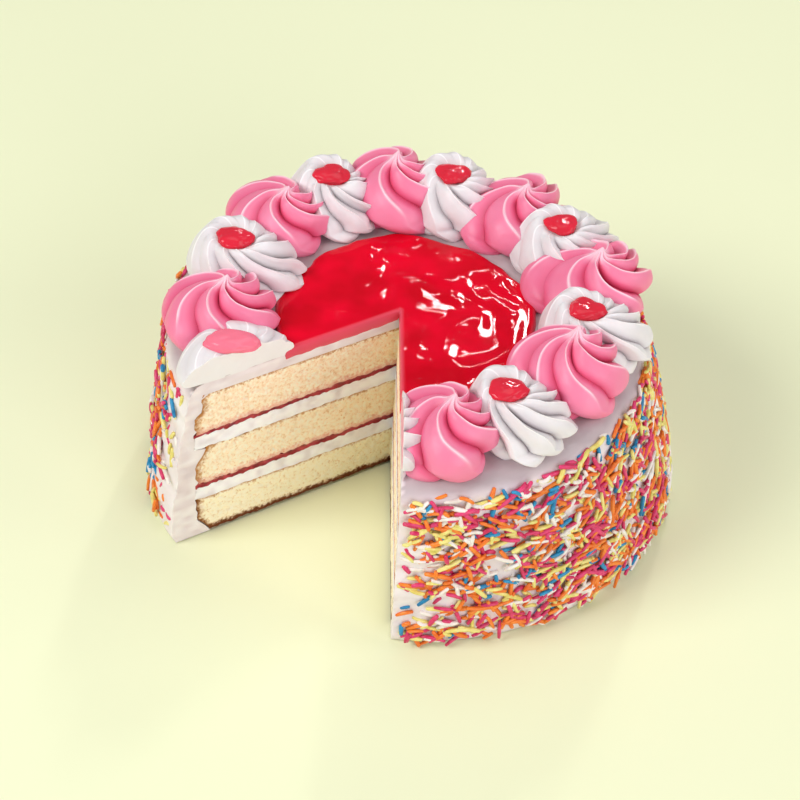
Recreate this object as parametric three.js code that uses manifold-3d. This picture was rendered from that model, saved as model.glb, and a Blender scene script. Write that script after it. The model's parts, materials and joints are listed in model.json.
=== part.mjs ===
// A round strawberry layer cake with one wedge cut out of it.
//
// Millimetres, +Z up. The origin lies on the surface that the cake stands on, under the
// middle of its foot. The wedge is cut from a point near the middle of the cake: its
// right-hand face runs along -Y, and its left-hand face runs 60 degrees clockwise of that.
// Three sponges stand on each other with cream and jam between them, icing covers the
// side and the top, and a ring of piped rosettes stands round a pool of jelly.

import * as THREE from "three";
import { mergeVertices } from "three/addons/utils/BufferGeometryUtils.js";
import Module from "manifold-3d";

const wasm = await Module();
wasm.setup();

// ---- Driving dimensions, in millimetres and degrees ----

const GAP = 0.3; // clear space between two pieces that touch
const TINY = 1e-6;
const FULL_TURN = 2 * Math.PI;

// The whole cake: an oval foot, a smaller round top, and a rounded shoulder between them.
const FOOT_ACROSS = 184;
const FOOT_DEEP = 174;
const TOP_RADIUS = 80.5;
const TOP_CENTRE = new THREE.Vector2(-5.2, -4.4);
const CAKE_HEIGHT = 69.3;
const SHOULDER_RADIUS = 7;
const WALL_TOP = CAKE_HEIGHT - SHOULDER_RADIUS;
const FOOT_TUCK = 1.4; // how far the wall's lowest edge draws in
const WALL_SWELL = 1.0; // how far the wall bellies out half way up
const KNIFE_WAVE = 0.6; // how uneven the palette knife left the wall
const CORNER_SWELL = 4.2; // a thicker dab of icing beside the left-hand cut
const CORNER_ANGLE = 206;
const CORNER_SPREAD = 15;
const ICING_COLUMNS = 48;

// The wedge that is cut out.
const WEDGE_POINT = new THREE.Vector2(-7.8, -2.9);
const WEDGE_FROM = 210; // direction of the left-hand face
const WEDGE_TO = 270; // direction of the right-hand face
const WEDGE_REACH = 180;

// The stack inside: sponge, cream, jam, sponge, cream, jam, sponge, from below.
const STACK_CENTRE = new THREE.Vector2(-6.5, -5.5);
const STACK_RADIUS = 76.6;
const STACK_UNEVEN = 0.9;
const STACK_COLUMNS = 36;
const BOTTOM_SPONGE = 16.75;
const MIDDLE_SPONGE = 16.15;
const TOP_SPONGE = 15.95;
const CREAM = 5.7;
const JAM = 1.8;
const LAYER_WAVE = 0.5; // how uneven the layers lie
const CRUST_CORNER = 5; // how far the lowest sponge's burnt edge is cut back

// The pool of jelly in the middle of the top.
const POOL_CENTRE = new THREE.Vector2(-5.6, -5.8);
const POOL_RADIUS = 43.2;
const POOL_DEPTH = 2.1;
const POOL_COLUMNS = 48;
const POOL_WAVE = 1.3; // how uneven its edge is
const POOL_RIPPLE = 0.18;

// Rosettes: a star nozzle turned once round, so ribs run from the peak to the foot.
const RIBS = 9;
const RIB_TURN = 112; // how far a rib turns on its way from the peak to the foot
const RIB_DEPTH = 1.7;
const RIB_ON_TOP = 0.76; // the share of a rib's way that lies above the waist
const RIB_COLUMNS = [
  { at: 0, lift: 1 }, // the sharp crest
  { at: 0.26, lift: -1 }, // the crease beside it
  { at: 0.62, lift: 0.15 }, // the round back that climbs to the next crest
];
const WAIST = 0.25; // the share of its height where a rosette is widest
const OVALNESS = 0.07; // each is a little longer outward than along the ring
const HOOD_LIFT = 3.0; // a white rosette's lip rises behind its drop of jelly
const HOOD_HEIGHT = 15; // the height of rosette that HOOD_LIFT is for: lower ones have less
const HOOD_ANGLE = 130; // where that lip is: they were all piped the same way round
const LIP_SHARE = 0.45; // the lip's place between the middle and the waist
const LIP_SPREAD = 0.3;
const SQUEEZE_ROOM = 0.8; // room between a white rosette and the widest of a pink one
const SQUEEZE_LEFT = 0.4; // what is left of a white one where there is no room
const ROSETTE_RING = 60.5; // radius of the ring that they stand on

// Drops: a little jelly set in each white rosette, half as wide and deep as its row says.
const DROP_HEIGHT = 2.9;
const DROP_UNEVEN = 0.08;

// Sprinkles: short sugar rods laid on the wall.
const SPRINKLE_LENGTH = 9.5;
const SPRINKLE_RADIUS = 0.95;
const SPRINKLE_SIDES = 5;
const SPRINKLE_COUNT = 112;
const SPRINKLE_SPACING = 9.6;
const SPRINKLE_LOWEST = 4;
const SPRINKLE_HIGHEST = 57;
const SPRINKLE_PROUD = 0.3; // height of a rod's axis above the icing
const SPRINKLE_TILTS = 162; // the range of their tilts, level ones in its middle
const SPRINKLE_MARGIN = 5; // degrees kept free beside each cut
const SPRINKLE_TRIES = 9000;
const SPRINKLE_SEED = 7;

// ---- Small helpers ----

const radians = (degrees) => (degrees * Math.PI) / 180;
const polar = (angle, reach) => new THREE.Vector2(Math.cos(angle) * reach, Math.sin(angle) * reach);
const blend = (from, to, share) => from + (to - from) * share;
const between = (value, low, high) => Math.min(high, Math.max(low, value));

// The shortest way round from one angle to another.
function turnBetween(from, to) {
  return Math.atan2(Math.sin(to - from), Math.cos(to - from));
}

// A steady stream of numbers from 0 to 1 that is the same on every run.
function seededDraw(seed) {
  let state = seed >>> 0;
  return () => {
    state = (Math.imul(state, 1664525) + 1013904223) >>> 0;
    return state / 4294967296;
  };
}

// A profile of (reach, height) points, turned round the Z axis.
function turned(profile, columns) {
  const points = profile.map(([reach, height]) => new THREE.Vector2(reach, height));
  return new THREE.LatheGeometry(points, columns).rotateX(Math.PI / 2);
}

// Which of a turned shape's columns a point belongs to, counted from -Y.
function columnOf(point, columns) {
  const angle = Math.atan2(point.y, point.x) + Math.PI / 2;
  return ((Math.round((angle / FULL_TURN) * columns) % columns) + columns) % columns;
}

// Moves every vertex of a geometry by a function that changes the point it is given.
function reshaped(geometry, move) {
  const position = geometry.getAttribute("position");
  const point = new THREE.Vector3();
  for (let i = 0; i < position.count; i += 1) {
    point.fromBufferAttribute(position, i);
    move(point);
    position.setXYZ(i, point.x, point.y, point.z);
  }
  return geometry;
}

// A closed geometry as a solid that can be joined and cut.
function solidFrom(geometry) {
  const bare = geometry.clone();
  bare.deleteAttribute("normal");
  bare.deleteAttribute("uv");
  const merged = mergeVertices(bare, 1e-4);
  const corners = merged.getIndex().array;
  const kept = [];
  for (let i = 0; i < corners.length; i += 3) {
    const [a, b, c] = [corners[i], corners[i + 1], corners[i + 2]];
    if (a !== b && b !== c && c !== a) kept.push(a, b, c);
  }
  const vertProperties = Float32Array.from(merged.getAttribute("position").array);
  const triVerts = Uint32Array.from(kept);
  return new wasm.Manifold(new wasm.Mesh({ numProp: 3, vertProperties, triVerts }));
}

// The largest body of a solid, without the loose scraps that a cut can leave.
function withoutScraps(solid) {
  return solid.decompose().reduce((best, body) => (body.volume() > best.volume() ? body : best));
}

// A solid as a geometry whose own origin is the given place.
function geometryFrom(solid, origin) {
  const { vertProperties, triVerts } = solid.getMesh();
  const geometry = new THREE.BufferGeometry();
  geometry.setAttribute("position", new THREE.BufferAttribute(vertProperties, 3));
  geometry.setIndex(new THREE.BufferAttribute(triVerts, 1));
  geometry.translate(-origin.x, -origin.y, -origin.z);
  geometry.computeVertexNormals();
  return geometry;
}

// ---- The cake's outer shape ----

// How far the foot of the wall stands from the origin, in one direction.
function footReach(angle) {
  const [a, b] = [FOOT_ACROSS / 2, FOOT_DEEP / 2];
  const oval = (a * b) / Math.hypot(b * Math.cos(angle), a * Math.sin(angle));
  const away = turnBetween(radians(CORNER_ANGLE), angle) / radians(CORNER_SPREAD);
  return oval + CORNER_SWELL * Math.exp(-away * away);
}

// Slow unevenness left by the palette knife.
function knifeWave(angle, height) {
  const slow = Math.sin(5 * angle + height / 9);
  const quick = Math.sin(11 * angle - height / 13);
  return KNIFE_WAVE * (0.6 * slow + 0.4 * quick);
}

// A point on the wall, or inside it where the share is under 1.
function wallPoint(angle, height, share) {
  const rise = between(height / WALL_TOP, 0, 1);
  const swell = WALL_SWELL * Math.sin(Math.PI * rise);
  const wave = knifeWave(angle, height) * Math.sin(Math.PI * between(rise, 0.08, 0.92));
  const reach = (blend(footReach(angle), TOP_RADIUS, rise) + swell + wave) * share;
  const place = polar(angle, reach);
  return new THREE.Vector3(
    TOP_CENTRE.x * rise + place.x,
    TOP_CENTRE.y * rise + place.y,
    height,
  );
}

// The whole cake's outside as one solid, before anything is cut.
function cakeBody() {
  const wall = [0.05, 0.34, 0.67, 1].map((share) => [1, WALL_TOP * share]);
  const shoulder = [30, 60, 90].map((angle) => [
    1 - (SHOULDER_RADIUS / TOP_RADIUS) * (1 - Math.cos(radians(angle))),
    WALL_TOP + SHOULDER_RADIUS * Math.sin(radians(angle)),
  ]);
  const tuck = 1 - FOOT_TUCK / (FOOT_ACROSS / 2);
  const profile = [[0, 0], [tuck, 0], ...wall, ...shoulder, [0, CAKE_HEIGHT]];
  const body = reshaped(turned(profile, ICING_COLUMNS), (point) => {
    const share = Math.hypot(point.x, point.y);
    const angle = Math.atan2(point.y, point.x);
    const height = point.z;
    point.copy(wallPoint(angle, height, share));
  });
  return solidFrom(body);
}

// The wedge as a tall prism that reaches well past the cake.
function wedgeCutter() {
  const shape = new THREE.Shape();
  const far = (degrees) => polar(radians(degrees), WEDGE_REACH).add(WEDGE_POINT);
  shape.moveTo(WEDGE_POINT.x, WEDGE_POINT.y);
  shape.lineTo(far(WEDGE_FROM).x, far(WEDGE_FROM).y);
  shape.lineTo(far(WEDGE_TO).x, far(WEDGE_TO).y);
  const depth = 2 * CAKE_HEIGHT;
  const prism = new THREE.ExtrudeGeometry(shape, { depth, bevelEnabled: false });
  return solidFrom(prism.translate(0, 0, -CAKE_HEIGHT / 4));
}

const wedge = wedgeCutter();

// ---- The layers ----

// How far a circle's edge lies from the wedge's point in one direction. The layers and
// the jelly are turned round that point, so that the wedge cuts them along two columns.
function reachFromPoint(angle, centre, radius) {
  const offset = WEDGE_POINT.clone().sub(centre);
  const along = offset.dot(polar(angle, 1));
  return Math.sqrt(along * along - offset.lengthSq() + radius * radius) - along;
}

// The stack's outline in one direction: baked cake is never quite round.
function stackReach(angle) {
  const uneven = STACK_UNEVEN * (0.55 * Math.sin(3 * angle + 1) + 0.45 * Math.sin(7 * angle));
  return reachFromPoint(angle, STACK_CENTRE, STACK_RADIUS) + uneven;
}

// How far a boundary between two layers lies off its level at a point.
function layerWave(angle, share, boundary) {
  if (boundary === 0) return 0;
  const slow = Math.sin(2 * angle + boundary * 1.9);
  const quick = Math.sin(5 * angle + boundary * 2.7);
  return LAYER_WAVE * share * (0.6 * slow + 0.4 * quick);
}

// A layer between two boundaries of the stack, from a profile of (share, side) points:
// side 0 is its underside, 1 its upper side.
function layerSolid({ low, high, from, to, profile, grow = 0 }) {
  const disc = reshaped(turned(profile, STACK_COLUMNS), (point) => {
    const share = Math.hypot(point.x, point.y);
    const angle = Math.atan2(point.y, point.x);
    const under = low + layerWave(angle, share, from) + (from === 0 ? 0 : GAP / 2);
    const over = high + layerWave(angle, share, to) - GAP / 2;
    const place = polar(angle, share * (stackReach(angle) + grow)).add(WEDGE_POINT);
    point.set(place.x, place.y, blend(under, over, point.z));
  });
  return solidFrom(disc);
}

const flatProfile = (share) => [[0, 0], [share, 0], [share, 1], [0, 1]];

// The side of each sponge differs: the top one has a notch half way up, the middle one slants
// in towards its top, and the lowest one's burnt corner is cut back.
const topSpongeProfile = [[0, 0], [1, 0], [1, 0.4], [0.955, 0.56], [0.945, 1], [0, 1]];
const middleSpongeProfile = [[0, 0], [0.985, 0], [1, 0.2], [1, 0.5], [0.945, 1], [0, 1]];
const crustShare = 1 - CRUST_CORNER / STACK_RADIUS;
const bottomSpongeProfile = [[0, 0], [crustShare, 0], [0.99, 0.4], [1, 0.75], [1, 1], [0, 1]];

const LAYERS = [
  { name: "sponge_bottom", thick: BOTTOM_SPONGE, profile: bottomSpongeProfile, kind: "sponge" },
  { name: "cream_lower", thick: CREAM, profile: flatProfile(1), kind: "cream" },
  { name: "jam_lower", thick: JAM, profile: flatProfile(0.985), kind: "jam" },
  { name: "sponge_middle", thick: MIDDLE_SPONGE, profile: middleSpongeProfile, kind: "sponge" },
  { name: "cream_upper", thick: CREAM, profile: flatProfile(1), kind: "cream" },
  { name: "jam_upper", thick: JAM, profile: flatProfile(0.985), kind: "jam" },
  { name: "sponge_top", thick: TOP_SPONGE, profile: topSpongeProfile, kind: "sponge" },
];
const STACK_HEIGHT = LAYERS.reduce((sum, layer) => sum + layer.thick, 0);

// The room inside the icing: as wide as the widest layer, and open below.
function stackRoom() {
  return layerSolid({
    low: -CAKE_HEIGHT / 8,
    high: STACK_HEIGHT + GAP,
    from: 0,
    to: LAYERS.length,
    profile: flatProfile(1),
    grow: GAP,
  });
}

// ---- Sprinkles ----

// A sugar rod with its middle on the wall and its axis turned in the wall's own plane.
function sprinkleSolid(angle, height, tilt) {
  const rod = new THREE.CapsuleGeometry(
    SPRINKLE_RADIUS,
    SPRINKLE_LENGTH - 2 * SPRINKLE_RADIUS,
    1,
    SPRINKLE_SIDES,
    1,
  );
  rod.rotateY(Math.PI / SPRINKLE_SIDES); // a flat side lies in the icing
  const middle = wallPoint(angle, height, 1);
  const along = wallPoint(angle + 0.01, height, 1).sub(middle).normalize();
  const upward = wallPoint(angle, height + 1, 1).sub(middle).normalize();
  const outward = new THREE.Vector3().crossVectors(along, upward).normalize();
  const axis = along.clone().multiplyScalar(Math.cos(tilt)).addScaledVector(upward, Math.sin(tilt));
  const side = new THREE.Vector3().crossVectors(axis, outward);
  middle.addScaledVector(outward, SPRINKLE_PROUD);
  const frame = new THREE.Matrix4().makeBasis(outward, axis, side.negate());
  return solidFrom(rod.applyMatrix4(frame.setPosition(middle)));
}

// Places on the wall, dropped at random and kept only where they are clear of the others.
function sprinklePlaces() {
  const draw = seededDraw(SPRINKLE_SEED);
  const margin = radians(SPRINKLE_MARGIN);
  const first = radians(WEDGE_TO) + margin;
  const span = radians(WEDGE_FROM) + FULL_TURN - margin - first;
  const places = [];
  for (let tries = 0; tries < SPRINKLE_TRIES && places.length < SPRINKLE_COUNT; tries += 1) {
    const angle = first + span * draw();
    const height = blend(SPRINKLE_LOWEST, SPRINKLE_HIGHEST, draw());
    const tilt = (draw() - 0.5) * radians(SPRINKLE_TILTS);
    const spot = wallPoint(angle, height, 1);
    const reachUp = (SPRINKLE_LENGTH / 2) * Math.abs(Math.sin(tilt));
    const inside = height - reachUp > SPRINKLE_LOWEST / 2 && height + reachUp < WALL_TOP - 1;
    const clear = places.every((place) => place.spot.distanceTo(spot) > SPRINKLE_SPACING);
    if (inside && clear) places.push({ angle, height, tilt, spot });
  }
  return places;
}

// The icing: the cake's outside less the stack's room, with sprinkles fused to the wall.
function icingSolid() {
  let icing = cakeBody().subtract(stackRoom()).subtract(wedge);
  for (const { angle, height, tilt } of sprinklePlaces()) {
    icing = icing.add(sprinkleSolid(angle, height, tilt));
  }
  return icing;
}

// ---- Rosettes ----

// Profiles as (share of the radius, share of the height), from the foot to the peak.
const peakedProfile = [[0, 0], [0.86, 0], [1, 0.25], [0.9, 0.48], [0.64, 0.69], [0.28, 0.87], [0, 1]];
const dishedProfile = [
  [0, 0], [0.86, 0], [1, 0.25], [0.93, 0.52], [0.7, 0.8], [0.44, 1], [0.2, 0.9], [0, 0.86],
];

// How far along a rib a point of the profile lies: 0 at the peak, 1 at the foot.
function alongRib(share, rise) {
  if (rise >= WAIST) return RIB_ON_TOP * share;
  return blend(1, RIB_ON_TOP, rise / WAIST);
}

// A rosette's middle at some share of its height: it leans more towards its peak.
const middleAt = ({ place, lean }, rise) => place.clone().addScaledVector(lean, rise * rise);

// The widest that a pink rosette is at some share of its height, crests and all.
function rosetteWidth(radius, rise) {
  const last = peakedProfile.findIndex(([, mark], i) => i > 1 && mark >= rise);
  const [near, far] = [peakedProfile[last - 1], peakedProfile[last]];
  const share = blend(near[0], far[0], (rise - near[1]) / (far[1] - near[1]));
  return radius * Math.max(share, rise < WAIST ? 1 : 0) + RIB_DEPTH + SQUEEZE_ROOM;
}

// White rosettes give way to the pink ones beside them: how far one may reach from its
// own middle in some direction before it meets a neighbour.
function squeezedReach(middle, angle, above, reach) {
  let free = reach;
  for (const pink of pinkRosettes) {
    const rise = between((above - RIB_DEPTH) / pink.height, 0, 1);
    const apart = middleAt(pink, rise).sub(middle);
    const width = rosetteWidth(pink.radius, rise);
    const along = apart.dot(polar(angle, 1));
    const aside = width * width - (apart.lengthSq() - along * along);
    if (along > 0 && aside > 0) free = Math.min(free, Math.max(along - Math.sqrt(aside), SQUEEZE_LEFT));
  }
  return free;
}

// One rosette in the cake's frame. Each column of the turned shape follows a crest, a
// crease or a back from the peak down to the foot, so the ribs wind with it. A grown one,
// which only cuts room for its neighbours, has its creases filled to the crests.
function rosetteSolid(rosette, grow = 0) {
  const { place, radius, height, start, dished, squeezed } = rosette;
  const columns = RIBS * RIB_COLUMNS.length;
  const profile = (dished ? dishedProfile : peakedProfile).map(([share, rise]) => [
    share * radius,
    rise * height,
  ]);
  const swirl = reshaped(turned(profile, columns), (point) => {
    const share = Math.hypot(point.x, point.y) / radius;
    const rise = point.z / height;
    const column = columnOf(point, columns);
    const rib = RIB_COLUMNS[column % RIB_COLUMNS.length];
    const count = Math.floor(column / RIB_COLUMNS.length) + rib.at;
    const angle = (count / RIBS) * FULL_TURN + start + radians(RIB_TURN) * alongRib(share, rise);
    const facing = rise < WAIST ? 0 : (Math.PI / 2) * Math.sqrt(1 - between(share, 0, 1));
    const lift = RIB_DEPTH * (grow > 0 ? 1 : rib.lift) * between(share * 2.2, 0, 1);
    const wide = 1 + OVALNESS * Math.cos(2 * (angle - place.clone().sub(TOP_CENTRE).angle()));
    let reach = share < TINY ? 0 : share * radius * wide + lift * Math.cos(facing) + grow;
    const rim = Math.exp(-(((share - LIP_SHARE) / LIP_SPREAD) ** 2));
    const behind = Math.max(0, Math.cos(angle - radians(HOOD_ANGLE))) ** 2;
    const hooded = dished ? HOOD_LIFT * (height / HOOD_HEIGHT) ** 2 * rim * behind : 0;
    const above = rise * height + lift * Math.sin(facing) + hooded;
    const middle = middleAt(rosette, rise);
    if (squeezed && grow === 0) reach = squeezedReach(middle, angle, above, reach);
    const spot = polar(angle, reach).add(middle);
    point.set(spot.x, spot.y, CAKE_HEIGHT + GAP + above + (rise > WAIST ? grow : -grow));
  });
  return solidFrom(swirl);
}

// Where they stand: the direction from the middle of the top, how far off the ring, and
// the size of each. They were piped by hand, so no two are alike.
const PINK_ROSETTES = [
  { at: 184.5, off: 2.9, radius: 16.6, height: 19.5, start: 20, lean: [3, 1] },
  { at: 135, off: 4.6, radius: 16.8, height: 19.0, start: 75, lean: [4, -1] },
  { at: 95, off: 2, radius: 18.0, height: 21.5, start: 10, lean: [1, 1] },
  { at: 53.5, off: 2.5, radius: 18.0, height: 19.5, start: 50, lean: [3, 0] },
  { at: 14.5, off: 1.5, radius: 19.6, height: 18.0, start: 95, lean: [4, 3] },
  { at: 329, off: -2.5, radius: 17.4, height: 21.5, start: 35, lean: [3, 4] },
  { at: 280, off: -1, radius: 16.8, height: 20.5, start: 60, lean: [2, 1] },
];
const WHITE_ROSETTES = [
  { at: 206.5, off: 0.5, radius: 18.4, height: 10.0, start: 24, lean: [-2.5, 1], drop: [8.2, 4.6] },
  { at: 159, off: -1, radius: 17.8, height: 15.0, start: 80, lean: [-3, 0], drop: [6.5, 5.2] },
  { at: 115, off: 2.5, radius: 16.4, height: 15.5, start: 40, lean: [0, 0], drop: [6.4, 5.2] },
  { at: 75.5, off: 1.5, radius: 16.8, height: 16.0, start: 5, lean: [0, 0], drop: [6.1, 5] },
  { at: 33, off: 4, radius: 17.6, height: 14.6, start: 65, lean: [-2, 0], drop: [5.8, 4.8] },
  { at: 350.5, off: 1, radius: 16.6, height: 15.5, start: 25, lean: [-3.5, 0.5], drop: [6.1, 5.2] },
  { at: 304.5, off: -1, radius: 16.2, height: 15.5, start: 92, lean: [-4, 0], drop: [6.4, 5] },
];

// The white rosette that went with the wedge left two scraps beside the last pink one,
// one towards the pool and one towards the rim. Each lies between these values of Y.
const LOST_ROSETTE = { at: 258.5, off: 0, radius: 18.5, height: 15.5, start: 50, lean: [0, 0] };
const SCRAPS = [
  { name: "inner", from: -55, to: -40 },
  { name: "outer", from: -90, to: -71 },
];

function laidOut(row, dished, squeezed) {
  const place = polar(radians(row.at), ROSETTE_RING + row.off).add(TOP_CENTRE);
  return {
    place,
    radius: row.radius,
    height: row.height,
    start: radians(row.start),
    lean: new THREE.Vector2(...row.lean),
    dished,
    squeezed,
    drop: row.drop,
  };
}

const pinkRosettes = PINK_ROSETTES.map((row) => laidOut(row, false, false));
const whiteRosettes = WHITE_ROSETTES.map((row) => laidOut(row, true, true));
const lostRosette = laidOut(LOST_ROSETTE, true, false);

// What is left of the lost rosette between two values of Y.
function scrapSolid(from, to) {
  const slab = new THREE.BoxGeometry(2 * FOOT_ACROSS, to - from, 2 * CAKE_HEIGHT);
  const window = solidFrom(slab.translate(0, (from + to) / 2, CAKE_HEIGHT));
  const neighbour = rosetteSolid(pinkRosettes.at(-1), GAP);
  return rosetteSolid(lostRosette).subtract(neighbour).subtract(wedge).intersect(window);
}

// ---- Jelly ----

// The drop of jelly that sits in a white rosette's dish.
function dropSolid(rosette, grow = 0) {
  const ball = new THREE.SphereGeometry(1, 10, 5).rotateX(Math.PI / 2);
  const middle = rosette.place.clone().add(rosette.lean);
  const base = CAKE_HEIGHT + rosette.height;
  reshaped(ball, (point) => {
    const angle = Math.atan2(point.y, point.x);
    const round = 1 + DROP_UNEVEN * Math.sin(3 * angle + 5 * rosette.start);
    const [wide, deep] = rosette.drop.map((half) => half * round + grow);
    const height = base + point.z * (DROP_HEIGHT + grow);
    point.set(middle.x + wide * point.x, middle.y + deep * point.y, height);
  });
  return solidFrom(ball);
}

// The pool in the middle: poured inside the ring, with a round edge and slow ripples.
function poolSolid() {
  const profile = [[0, 0], [0.975, 0], [1, 0.45], [0.97, 1], [0.55, 1], [0, 1]];
  const pool = reshaped(turned(profile, POOL_COLUMNS), (point) => {
    const share = Math.hypot(point.x, point.y);
    const angle = Math.atan2(point.y, point.x);
    const wave = POOL_WAVE * (0.6 * Math.sin(4 * angle + 1) + 0.4 * Math.sin(9 * angle));
    const edge = reachFromPoint(angle, POOL_CENTRE, POOL_RADIUS) + wave;
    const spot = polar(angle, share * edge).add(WEDGE_POINT);
    const ripple = POOL_RIPPLE * Math.sin(3 * angle + 6 * share) * point.z;
    point.set(spot.x, spot.y, CAKE_HEIGHT + GAP + POOL_DEPTH * point.z + ripple);
  });
  return solidFrom(pool);
}

// ---- The scene graph ----

const materials = {
  sponge: { color: 0xe9cf94, roughness: 0.9 },
  cream: { color: 0xf4efe6, roughness: 0.6 },
  jam: { color: 0xa3283a, roughness: 0.4 },
  icing: { color: 0xf3eee8, roughness: 0.55 },
  pink: { color: 0xee6c98, roughness: 0.5 },
  white: { color: 0xf6f2ee, roughness: 0.5 },
  jelly: { color: 0xd2001f, roughness: 0.12 },
};

const cake = new THREE.Group();
cake.name = "strawberry_layer_cake";

function addPiece(group, name, solid, kind, origin = new THREE.Vector3()) {
  const material = new THREE.MeshStandardMaterial({ ...materials[kind], metalness: 0 });
  const mesh = new THREE.Mesh(geometryFrom(solid, origin), material);
  mesh.name = name;
  mesh.position.copy(origin);
  group.add(mesh);
}

function addLayers() {
  const stack = new THREE.Group();
  let low = 0;
  LAYERS.forEach(({ name, thick, profile, kind }, index) => {
    const layer = layerSolid({ low, high: low + thick, from: index, to: index + 1, profile });
    const origin = new THREE.Vector3(WEDGE_POINT.x, WEDGE_POINT.y, low);
    addPiece(stack, name, layer.subtract(wedge), kind, origin);
    low += thick;
  });
  cake.add(stack);
}

function addTopping() {
  const topping = new THREE.Group();
  const foot = ({ place }) => new THREE.Vector3(place.x, place.y, CAKE_HEIGHT);
  let pool = poolSolid();

  pinkRosettes.forEach((rosette, index) => {
    const solid = rosetteSolid(rosette).subtract(wedge);
    addPiece(topping, `rosette_pink_${index + 1}`, solid, "pink", foot(rosette));
    pool = pool.subtract(rosetteSolid(rosette, GAP));
  });

  whiteRosettes.forEach((rosette, index) => {
    const count = index + 1;
    const drop = dropSolid(rosette).subtract(wedge);
    const solid = rosetteSolid(rosette).subtract(dropSolid(rosette, GAP)).subtract(wedge);
    pool = pool.subtract(rosetteSolid(rosette, GAP));
    addPiece(topping, `rosette_white_${count}`, withoutScraps(solid), "white", foot(rosette));
    addPiece(topping, `jelly_drop_${count}`, drop, "jelly", foot(rosette));
  });

  for (const { name, from, to } of SCRAPS) {
    addPiece(topping, `rosette_white_8_${name}`, scrapSolid(from, to), "white");
  }
  pool = pool.subtract(rosetteSolid(lostRosette, GAP)).subtract(wedge);
  addPiece(topping, "jelly_pool", pool, "jelly");
  cake.add(topping);
}

addLayers();
addPiece(cake, "icing", icingSolid(), "icing");
addTopping();

export default cake;
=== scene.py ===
# %% [markdown]
# # A strawberry layer cake with one wedge cut out
# The real cake is three rounds of yellow sponge with jam and whipped cream between them. A coat
# of cream is smoothed over it, sugar strands are pressed into the side, and a ring of pink and
# white rosettes stands round a pool of red jelly. The solid model gives every piece its size and
# place. This script builds the surfaces that the eye sees over it, in the same frame.

import itertools
import json
import math

import bmesh
import bpy
import numpy as np
from mathutils import Matrix, Vector

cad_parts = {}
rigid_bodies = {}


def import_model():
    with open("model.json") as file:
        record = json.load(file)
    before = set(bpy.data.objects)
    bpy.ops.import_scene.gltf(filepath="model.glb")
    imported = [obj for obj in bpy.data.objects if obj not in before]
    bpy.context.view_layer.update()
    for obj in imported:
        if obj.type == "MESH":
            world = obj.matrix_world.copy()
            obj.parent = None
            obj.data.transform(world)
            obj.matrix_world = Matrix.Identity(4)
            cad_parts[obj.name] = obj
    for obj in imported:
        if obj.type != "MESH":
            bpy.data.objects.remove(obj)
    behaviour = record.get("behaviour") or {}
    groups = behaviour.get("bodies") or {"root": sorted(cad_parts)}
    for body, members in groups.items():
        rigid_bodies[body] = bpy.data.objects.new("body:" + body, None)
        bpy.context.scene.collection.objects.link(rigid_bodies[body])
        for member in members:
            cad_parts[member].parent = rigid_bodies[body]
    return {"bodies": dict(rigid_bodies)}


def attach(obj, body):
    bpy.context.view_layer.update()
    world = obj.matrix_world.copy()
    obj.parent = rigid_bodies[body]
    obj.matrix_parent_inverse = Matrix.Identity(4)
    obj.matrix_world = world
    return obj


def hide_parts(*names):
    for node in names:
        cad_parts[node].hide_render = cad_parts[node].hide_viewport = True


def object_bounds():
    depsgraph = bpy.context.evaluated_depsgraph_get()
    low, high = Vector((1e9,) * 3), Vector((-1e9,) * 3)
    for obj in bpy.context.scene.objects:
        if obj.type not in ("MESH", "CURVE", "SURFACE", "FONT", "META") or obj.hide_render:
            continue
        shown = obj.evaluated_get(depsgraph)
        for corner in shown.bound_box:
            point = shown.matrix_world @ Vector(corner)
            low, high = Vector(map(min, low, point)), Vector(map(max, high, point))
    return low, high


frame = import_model()


def plain_box():
    return [[round(float(value), 6) for value in corner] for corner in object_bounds()]


cad_box = plain_box()
print("the solid model's box, in metres:", cad_box)

# %% [markdown]
# All sizes below are in millimetres, as a baker would measure them, and one number turns them
# into Blender's metres when a mesh is made. Angles are in degrees, counted from +X towards +Y.
# The numpy arrays hold whole surfaces at once, which is much faster than point by point.

# %% Units and small sums
MM = 0.001
FULL_TURN = 2 * math.pi


def unit(angle):
    """Flat directions for an array of angles in radians."""
    return np.stack([np.cos(angle), np.sin(angle)], axis=-1)


def smooth(value, low, high):
    """0 below low, 1 above high, and an even S-curve between them."""
    share = np.clip((value - low) / (high - low), 0, 1)
    return share * share * (3 - 2 * share)


# %% [markdown]
# Nothing on a cake is quite even. This relief is value noise: random heights on a grid of
# points, blended smoothly between them. The random heights come from the grid point's own
# numbers, so that the same place always gives the same lump, on every run.

# %% Lumps
PRIMES = (73856093, 19349663, 83492791)  # large, so that neighbours get unlike heights


def lumps(spots, size, seed=0):
    """Relief between -1 and 1 at points in millimetres, with lumps about that size."""
    place = np.asarray(spots, dtype=float) / size + 17.3 * seed + 0.5
    cell = np.floor(place).astype(np.int64)
    part = place - cell
    part = part * part * (3 - 2 * part)
    total = np.zeros(place.shape[:-1])
    for corner in itertools.product((0, 1), repeat=place.shape[-1]):
        spot = cell + np.array(corner)
        mixed = sum(spot[..., i] * PRIMES[i] for i in range(len(corner)))
        mixed = (mixed ^ (mixed >> 13)) * 1274126177
        mixed = mixed ^ (mixed >> 16)
        height = (mixed & 0xFFFF) / 32767.5 - 1
        near = [part[..., i] if up else 1 - part[..., i] for i, up in enumerate(corner)]
        total += height * np.prod(near, axis=0)
    return total


print("a few lumps:", lumps(np.array([[0.0, 0, 0], [1, 2, 3]]), 2.0).round(3))

# %% [markdown]
# Most pieces are sheets of points in rows and columns. A sheet becomes four-sided faces by
# linking each point to its neighbours. A piece is built from one or more sheets, joined where
# their edges meet, and sharp edges are marked by angle so that a cut stays crisp.

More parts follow.
